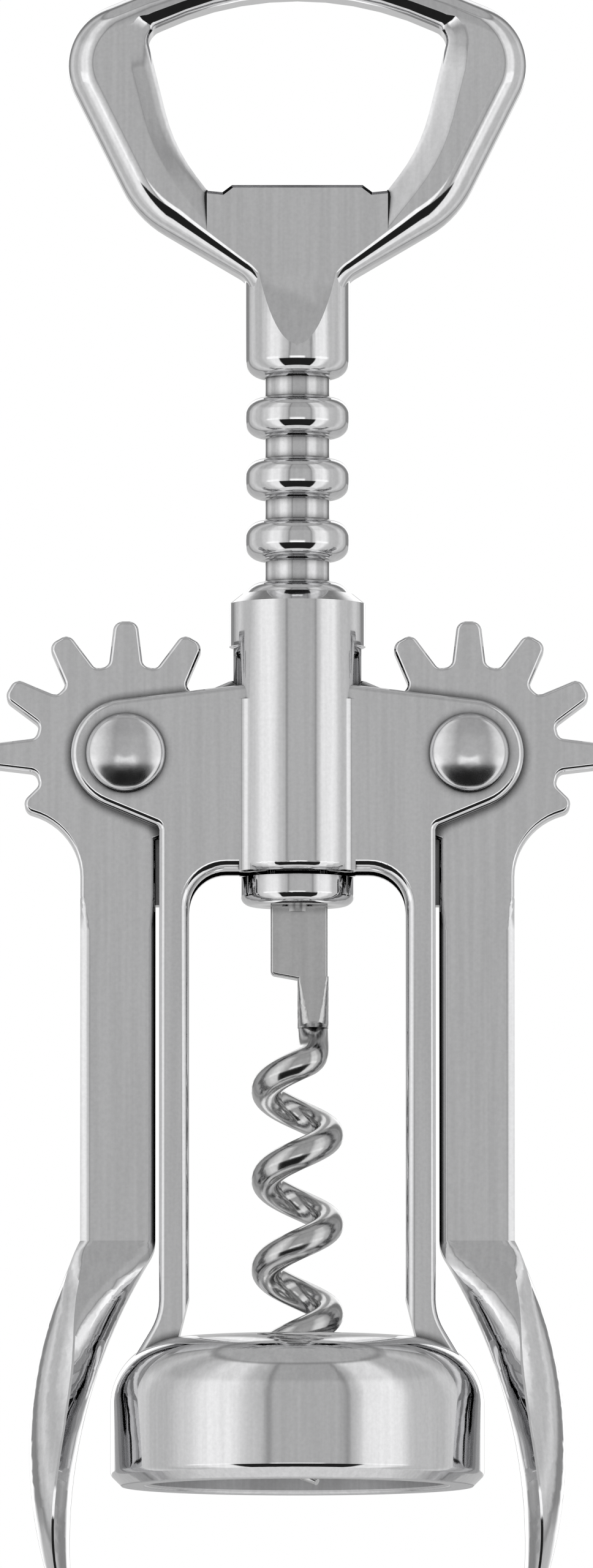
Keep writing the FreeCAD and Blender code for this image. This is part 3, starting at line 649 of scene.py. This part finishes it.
def opening_cutter(corners, edges):
    """What an outline takes out of the head; edges(point, way) gives each of its points the edge's steps."""
    outline = rounded_loop(corners)
    ways = outward(outline)
    steps = [edges(p, way.normalized()) for p, way in zip(outline, ways)]
    half = [[(p + way * step[0][0], HEAD_HALF + CLEAR) for p, way, step in zip(outline, ways, steps)]]
    for k in range(len(ARM_BEVEL)):
        half.append([(p + way * step[k][0], HEAD_HALF - step[k][1])
                     for p, way, step in zip(outline, ways, steps)])
    return through_head(half)


def mixed_steps(one, other, share):
    """Steps that turn from one edge into the other as the share goes from 0 to 1."""
    share = min(max(share, 0), 1)
    return [(a[0] + (b[0] - a[0]) * share, a[1] + (b[1] - a[1]) * share) for a, b in zip(one, other)]


def cap_lifter_head():
    """The head with its cap opening: a rounded bar above, broad bevels down the arms, the lip on the web."""
    def plug_edge(point, way):
        return LIP_EASE if point.y < LIP_END else STRAIGHT_WALL

    def rim_edge(point, way):
        corner = mixed_steps(ARM_BEVEL, CORNER_EASE, (point.y - CORNER_START) / CORNER_SPAN)
        return mixed_steps(corner, BAR_ROUND, (way.y - BAR_START) / BAR_SPAN)

    plug = opening_cutter(LIP + OPENING, plug_edge)
    bevel = opening_cutter(BEVEL_FOOT + OPENING, rim_edge)
    # The bevels stop at the web, which keeps its full thickness under the lip
    web = bmesh.new()
    bmesh.ops.create_cube(web, size=1.0)
    for v in web.verts:
        v.co = (v.co.x * 2 * WEB_HALF * MM, v.co.y * 4 * HEAD_HALF * MM,
                (NECK_TOP + WEB_TOP - WEB_DEPTH / 2 + v.co.z * WEB_DEPTH) * MM)
    bevel = cut_or_joined(bevel, [web], "DIFFERENCE")
    plate = cut_or_joined(head_plate(), [plug, bevel], "DIFFERENCE")
    neck = cut_or_joined(round_neck(), [neck_flat(-1), neck_flat(1)], "DIFFERENCE")
    return cut_or_joined(plate, [neck], "UNION")


def rivet_shape(side):
    """A rivet with a broad low head in front and a smaller closed tail behind."""
    def turned(radius, y):
        return [((side * RIVET_PLACE[0] + radius * math.cos(turn)), y, RIVET_PLACE[1] + radius * math.sin(turn))
                for turn in (math.radians(360 / RIVET_SIDES * i) for i in range(RIVET_SIDES))]

    def crown(radius, height, dome):
        """Steps from the middle of a low dome out to its upset rim."""
        steps = [(radius * u, height - dome + math.sqrt(dome * dome - radius * radius * u * u))
                 for u in DOME_STEPS]
        (start, level), rim = steps[-1], []
        for k in range(1, RIM_STEPS + 1):
            bend = RIM_START + (math.pi / 2 - RIM_START) * k / RIM_STEPS
            share = (math.sin(bend) - math.sin(RIM_START)) / (1 - math.sin(RIM_START))
            rim.append((start + (radius - start) * share, level * math.cos(bend) / math.cos(RIM_START)))
        return steps + rim

    front = [turned(radius, -CASTING_HALF - height) for radius, height in crown(*RIVET_HEAD)]
    back = [turned(radius, CASTING_HALF + height) for radius, height in reversed(crown(*RIVET_TAIL))]
    shank = [turned(RIVET_RADIUS, -CASTING_HALF), turned(RIVET_RADIUS, CASTING_HALF)]
    return stacked_solid(front + shank + back)


# The rack's rings and the worm's turns, by rule -----------------------------------

def new_rule(name, sizes):
    """An empty geometry tree with named size inputs; returns the tree and its size sockets."""
    tree = bpy.data.node_groups.new(name, "GeometryNodeTree")
    tree.interface.new_socket("Geometry", in_out="OUTPUT", socket_type="NodeSocketGeometry")
    for key, value in sizes.items():
        kind = "NodeSocketInt" if isinstance(value, int) else "NodeSocketFloat"
        tree.interface.new_socket(key, in_out="INPUT", socket_type=kind)
    return tree, add(tree, "NodeGroupInput").outputs


def follow_rule(tree, sizes, geometry, name, material):
    """Ends the tree, runs it with the sizes, and returns the finished piece."""
    realized = add(tree, "GeometryNodeRealizeInstances", {"Geometry": geometry})
    coated = add(tree, "GeometryNodeSetMaterial", {"Geometry": realized, "Material": material})
    add(tree, "NodeGroupOutput", {"Geometry": coated})
    maker = bpy.data.objects.new(name + "_rule", bpy.data.meshes.new(name + "_rule"))
    bpy.context.scene.collection.objects.link(maker)
    modifier = maker.modifiers.new("rule", "NODES")
    modifier.node_group = tree
    for item in tree.interface.items_tree:
        if item.in_out == "INPUT":
            modifier[item.identifier] = sizes[item.name]
    mesh = bpy.data.meshes.new_from_object(maker.evaluated_get(bpy.context.evaluated_depsgraph_get()))
    maker.modifiers.remove(modifier)
    bpy.data.objects.remove(maker)
    bm = bmesh.new()
    bm.from_mesh(mesh)
    bpy.data.meshes.remove(mesh)
    return finished_piece(bm, name, material)


def rack_rings(material):
    """The rack rod: one rounded ring for every tooth of a wing, a bored hole for the cross pin. A flat grid
    is rolled up into the rod; its rows run up the rings' crowns and grooves."""
    sizes = {
        "Rings": RACK_RINGS, "Pitch": RACK_PITCH * MM, "First Ring": RACK_FIRST_RING * MM,
        "Ring Radius": RING_RADIUS * MM, "Crown": RING_CROWN * MM, "Crown Flat": RING_FLAT * MM,
        "Ring Half Height": RING_HALF_HEIGHT * MM, "Rod Radius": ROD_RADIUS * MM,
        "Rod Bottom": ROD_BOTTOM * MM, "Pin Radius": PIN_RADIUS * MM, "Pin Height": PIN_HEIGHT * MM,
        "Sides": ROD_SIDES, "Crown Steps": CROWN_STEPS}
    tree, size = new_rule("rack_rings", sizes)
    # Each ring has its crown's steps, and two more rows on either side for its root and half its groove
    ring_rows = add(tree, MATH, [size["Crown Steps"], 5], operation="ADD")
    rows = add(tree, MATH, [size["Rings"], ring_rows, 2], operation="MULTIPLY_ADD")
    columns = add(tree, MATH, [size["Sides"], 1], operation="ADD")
    grid = add(tree, "GeometryNodeMeshGrid", {
        "Size X": 1.0, "Size Y": 1.0, "Vertices X": columns, "Vertices Y": rows})
    spot = add(tree, "GeometryNodeInputPosition")
    x, y, _ = add(tree, "ShaderNodeSeparateXYZ", [spot]).outputs

    # Where a point of the grid belongs: its angle round the rod, its row, its ring, and its step on the ring
    across = add(tree, MATH, [x, 0.5], operation="ADD")
    angle = add(tree, MATH, [across, 2 * math.pi], operation="MULTIPLY")
    along = add(tree, MATH, [y, 0.5], operation="ADD")
    last_row = add(tree, MATH, [rows, 1], operation="SUBTRACT")
    row = add(tree, MATH, [along, last_row], operation="MULTIPLY")
    row = add(tree, MATH, [row, 1], operation="SUBTRACT")
    row = add(tree, MATH, [row], operation="ROUND")
    row_middle = add(tree, MATH, [row, 0.5], operation="ADD")
    ring = add(tree, MATH, [row_middle, ring_rows], operation="DIVIDE")
    ring = add(tree, MATH, [ring], operation="FLOOR")
    rows_below = add(tree, MATH, [ring, ring_rows], operation="MULTIPLY")
    step = add(tree, MATH, [row, rows_below], operation="SUBTRACT")
    middle_step = add(tree, MATH, [size["Crown Steps"], 0.5, 2], operation="MULTIPLY_ADD")
    step = add(tree, MATH, [step, middle_step], operation="SUBTRACT")
    side = add(tree, MATH, [step], operation="SIGN")

    # On the crown: a half turn from its lower edge to its upper one
    swing = add(tree, MATH, [step, math.pi], operation="MULTIPLY")
    swing = add(tree, MATH, [swing, size["Crown Steps"]], operation="DIVIDE")
    swing = add(tree, MATH, [swing, -math.pi / 2], operation="MAXIMUM")
    swing = add(tree, MATH, [swing, math.pi / 2], operation="MINIMUM")
    outwards = add(tree, MATH, [swing], operation="COSINE")
    upwards = add(tree, MATH, [swing], operation="SINE")
    crown_centre = add(tree, MATH, [size["Ring Radius"], size["Crown"]], operation="SUBTRACT")
    crown_out = add(tree, MATH, [outwards, size["Crown"], crown_centre], operation="MULTIPLY_ADD")
    half_flat = add(tree, MATH, [side, size["Crown Flat"]], operation="MULTIPLY")
    crown_up = add(tree, MATH, [upwards, size["Crown"], half_flat], operation="MULTIPLY_ADD")

    # Beyond the crown: the ring's root, then the middle of the groove
    steps_out = add(tree, MATH, [step], operation="ABSOLUTE")
    half_crown = add(tree, MATH, [size["Crown Steps"], 0.5], operation="MULTIPLY")
    beyond = add(tree, MATH, [steps_out, half_crown], operation="SUBTRACT")
    in_groove = add(tree, MATH, [beyond, 0.5], operation="GREATER_THAN")
    half_pitch = add(tree, MATH, [size["Pitch"], 0.5], operation="MULTIPLY")
    groove_up = add(tree, "ShaderNodeMapRange", {
        "Value": beyond, "From Min": 1.0, "From Max": 2.0,
        "To Min": size["Ring Half Height"], "To Max": half_pitch})
    groove_up = add(tree, MATH, [side, groove_up], operation="MULTIPLY")
    radius = add(tree, "ShaderNodeMix", [in_groove, crown_out, size["Rod Radius"]])
    rise = add(tree, "ShaderNodeMix", [in_groove, crown_up, groove_up])

    # Heights stay between the rod's ends, and the first and last rows close them
    ring_height = add(tree, MATH, [ring, size["Pitch"], size["First Ring"]], operation="MULTIPLY_ADD")
    z = add(tree, MATH, [ring_height, rise], operation="ADD")
    ring_count = add(tree, MATH, [size["Rings"], 0.5], operation="SUBTRACT")
    rod_top = add(tree, MATH, [ring_count, size["Pitch"], size["First Ring"]], operation="MULTIPLY_ADD")
    z = add(tree, MATH, [z, size["Rod Bottom"]], operation="MAXIMUM")
    z = add(tree, MATH, [z, rod_top], operation="MINIMUM")
    after_first = add(tree, MATH, [row, -0.5], operation="GREATER_THAN")
    end_row = add(tree, MATH, [rows, 2.5], operation="SUBTRACT")
    before_last = add(tree, MATH, [row, end_row], operation="LESS_THAN")
    inside = add(tree, MATH, [after_first, before_last], operation="MULTIPLY")
    radius = add(tree, MATH, [radius, inside], operation="MULTIPLY")
    cosine = add(tree, MATH, [angle], operation="COSINE")
    sine = add(tree, MATH, [angle], operation="SINE")
    x = add(tree, MATH, [radius, cosine], operation="MULTIPLY")
    y = add(tree, MATH, [radius, sine], operation="MULTIPLY")
    place = add(tree, "ShaderNodeCombineXYZ", [x, y, z])
    rod = add(tree, "GeometryNodeSetPosition", {"Geometry": grid, "Position": place})
    rod = add(tree, "GeometryNodeMergeByDistance", {"Geometry": rod, "Distance": ROLLED_SEAM})

    drill_length = add(tree, MATH, [size["Ring Radius"], 2], operation="MULTIPLY")
    drill = add(tree, "GeometryNodeMeshCylinder", {
        "Vertices": PIN_SIDES, "Radius": size["Pin Radius"], "Depth": drill_length})
    at_pin = add(tree, "ShaderNodeCombineXYZ", {"Z": size["Pin Height"]})
    hole = add(tree, "GeometryNodeTransform", {
        "Geometry": drill, "Translation": at_pin, "Rotation": (math.pi / 2, 0, 0)})
    bored = add(tree, "GeometryNodeMeshBoolean", {"Mesh 1": rod, "Mesh 2": hole},
                operation="DIFFERENCE", solver="EXACT")
    return follow_rule(tree, sizes, bored, "rack_rings", material)


def worm_turns(material):
    """The worm's wire: a bend out of the neck, then a helix that narrows to its tip."""
    sizes = {
        "Wire Radius": WIRE_RADIUS * MM, "Worm Radius": WORM_RADIUS * MM, "Pitch": WORM_PITCH * MM,
        "Left Height": WORM_LEFT_HEIGHT * MM, "Tip Height": WORM_TIP_HEIGHT * MM,
        "Tip Radius": WORM_TIP_RADIUS * MM, "Taper": math.radians(WORM_TAPER),
        "Bend Angle": math.radians(BEND_ANGLE), "Bend Reach": BEND_REACH * MM,
        "Neck Offset": NECK_OFFSET * MM, "Neck Bottom": NECK_BOTTOM * MM, "Neck Reach": NECK_REACH * MM,
        "Bend Steps": BEND_STEPS, "Steps": WORM_STEPS, "Sides": WIRE_SIDES}
    tree, size = new_rule("worm_turns", sizes)

    def on_helix(angle):
        """The helix's point at an angle, where half a turn is its leftmost point at the left height."""
        past_left = add(tree, MATH, [angle, math.pi], operation="SUBTRACT")
        turns = add(tree, MATH, [past_left, 2 * math.pi], operation="DIVIDE")
        cosine = add(tree, MATH, [angle], operation="COSINE")
        sine = add(tree, MATH, [angle], operation="SINE")
        x = add(tree, MATH, [size["Worm Radius"], cosine], operation="MULTIPLY")
        y = add(tree, MATH, [size["Worm Radius"], sine], operation="MULTIPLY")
        z = add(tree, MATH, [turns, size["Pitch"], size["Left Height"]], operation="MULTIPLY_ADD")
        return add(tree, "ShaderNodeCombineXYZ", [x, y, z])

    # The bend leaves the neck straight down and meets the helix along its own direction
    overlap = add(tree, MATH, [size["Wire Radius"], NECK_OVERLAP], operation="MULTIPLY")
    neck_z = add(tree, MATH, [size["Neck Bottom"], overlap], operation="ADD")
    handle_z = add(tree, MATH, [neck_z, size["Neck Reach"]], operation="SUBTRACT")
    start = add(tree, "ShaderNodeCombineXYZ", {"X": size["Neck Offset"], "Z": neck_z})
    start_handle = add(tree, "ShaderNodeCombineXYZ", {"X": size["Neck Offset"], "Z": handle_z})
    end = on_helix(size["Bend Angle"])
    sine = add(tree, MATH, [size["Bend Angle"]], operation="SINE")
    east = add(tree, MATH, [sine, -1.0], operation="MULTIPLY")
    north = add(tree, MATH, [size["Bend Angle"]], operation="COSINE")
    rise = add(tree, MATH, [size["Pitch"], 2 * math.pi], operation="DIVIDE")
    rise = add(tree, MATH, [rise, size["Worm Radius"]], operation="DIVIDE")
    up_helix = add(tree, "ShaderNodeCombineXYZ", [east, north, rise])
    up_helix = add(tree, "ShaderNodeVectorMath", [up_helix], operation="NORMALIZE")
    lead = add(tree, "ShaderNodeVectorMath", [up_helix, size["Bend Reach"]], operation="SCALE")
    end_handle = add(tree, "ShaderNodeVectorMath", [end, lead], operation="ADD")
    bend = add(tree, "GeometryNodeCurvePrimitiveBezierSegment", {
        "Resolution": BEND_RESOLUTION, "Start": start, "Start Handle": start_handle,
        "End Handle": end_handle, "End": end}, mode="POSITION")

    # One line of points, the first few along the bend and the rest down the helix to the tip
    line = add(tree, "GeometryNodeCurvePrimitiveLine")
    steps = add(tree, MATH, [size["Bend Steps"], size["Steps"]], operation="ADD")
    count = add(tree, MATH, [steps, 1], operation="ADD")
    points = add(tree, "GeometryNodeResampleCurve", {"Curve": line, "Count": count})
    index = add(tree, "GeometryNodeInputIndex")
    bend_share = add(tree, MATH, [index, size["Bend Steps"]], operation="DIVIDE")
    on_bend = add(tree, "GeometryNodeSampleCurve", {"Curves": bend, "Factor": bend_share},
                  mode="FACTOR").outputs["Position"]
    drop = add(tree, MATH, [size["Left Height"], size["Tip Height"]], operation="SUBTRACT")
    drop = add(tree, MATH, [drop, size["Pitch"]], operation="DIVIDE")
    tip_angle = add(tree, MATH, [drop, -2 * math.pi, math.pi], operation="MULTIPLY_ADD")
    share = add(tree, MATH, [index, size["Bend Steps"]], operation="SUBTRACT")
    share = add(tree, MATH, [share, size["Steps"]], operation="DIVIDE")
    angle = add(tree, "ShaderNodeMapRange", {"Value": share, "To Min": size["Bend Angle"], "To Max": tip_angle})
    on_turns = add(tree, MATH, [share, 0.0], operation="GREATER_THAN")
    place = add(tree, "ShaderNodeMix", [on_turns, on_bend, on_helix(angle)], data_type="VECTOR")
    path = add(tree, "GeometryNodeSetPosition", {"Geometry": points, "Position": place})

    # The wire narrows over its last part
    taper_start = add(tree, MATH, [tip_angle, size["Taper"]], operation="ADD")
    thickness = add(tree, "ShaderNodeMapRange", {
        "Value": angle, "From Min": tip_angle, "From Max": taper_start,
        "To Min": size["Tip Radius"], "To Max": size["Wire Radius"]})
    ring = add(tree, "GeometryNodeCurvePrimitiveCircle", {"Resolution": size["Sides"], "Radius": 1.0})
    wire = add(tree, "GeometryNodeCurveToMesh", {
        "Curve": path, "Profile Curve": ring, "Scale": thickness, "Fill Caps": True})
    return follow_rule(tree, sizes, wire, "worm_turns", material)


# Assembly -----------------------------------------------------------------------

def stand_in(piece, node, body):
    """A finished piece stands for a CAD node, on the node's body."""
    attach(piece, body)
    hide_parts(node)


def main():
    place_camera()
    light_studio()
    lay_floor(cad_box[0][2] - FLOOR_GAP)

    # Zinc die casting, mop-polished and bright chrome plated: mirror-like, rolling softly over a few
    # millimetres, with a faint haze from the mop, fine pits, and painted shade darkening its crevices.
    # Inside the bell the chrome lies on the cast skin, which blurs all that it reflects
    casting = metal("chrome_plated_zinc_casting", "#DBDBDC", roughness=0.05, haze=(0.015, 6.0),
                    roll=(0.003, 5.0), grain=(0.0003, 0.35), mop=0.6, crevice_shade=0.9, cast_skin=(in_mouth, 0.42))
    # Steel rivets, tumbled and plated before they are closed: softly blurred, dented a little all over
    rivet = metal("tumbled_chrome_plated_steel", "#D5D5D6", roughness=0.2, haze=(0.03, 1.5),
                  roll=(0.008, 1.6), grain=(0.0008, 0.4), mop=1.5, crevice_shade=0.9)
    # Drawn steel wire, nickel plated: bright, with long soft ripples left by the winding
    worm = metal("nickel_plated_steel_wire", "#C6C6C6", roughness=0.17, haze=(0.04, 2.5),
                 roll=(0.006, 2.0), grain=(0.0006, 0.3), mop=0.8, crevice_shade=0.6)
    # Drawn steel pin, cut and driven in: duller grey, with a torn, slightly rough end
    pin = metal("drawn_steel_pin", "#A8A8A6", roughness=0.3, haze=(0.08, 0.5),
                roll=(0.004, 0.4), grain=(0.002, 0.15), mop=0.3, crevice_shade=0.8)

    for node, body, slot, material in (
            ("left_wing", "left_lever", "casting", casting),
            ("right_wing", "right_lever", "casting", casting),
            ("stop_collar", "slider", "casting", casting),
            ("worm_pin", "screw", "pin", pin)):
        stand_in(finished_piece(node_mesh(node), node + "_finished", material), node, body)
    casting_mesh = ease_foot(turn_bell(node_mesh("frame_casting")))
    stand_in(finished_piece(casting_mesh, "frame_casting_finished", casting), "frame_casting", "frame")
    for node, side in (("left_rivet", -1), ("right_rivet", 1)):
        stand_in(finished_piece(rivet_shape(side), node + "_finished", rivet), node, "frame")
    stand_in(finished_piece(cap_lifter_head(), "cap_lifter_head", casting), "handle", "screw")
    stand_in(rack_rings(casting), "handle", "screw")
    shank = finished_piece(node_mesh("worm", above=NECK_BOTTOM + SHANK_CUT), "worm_shank", worm)
    stand_in(shank, "worm", "screw")
    stand_in(worm_turns(worm), "worm", "screw")

    bpy.context.scene.view_settings.view_transform = "Standard"


main()
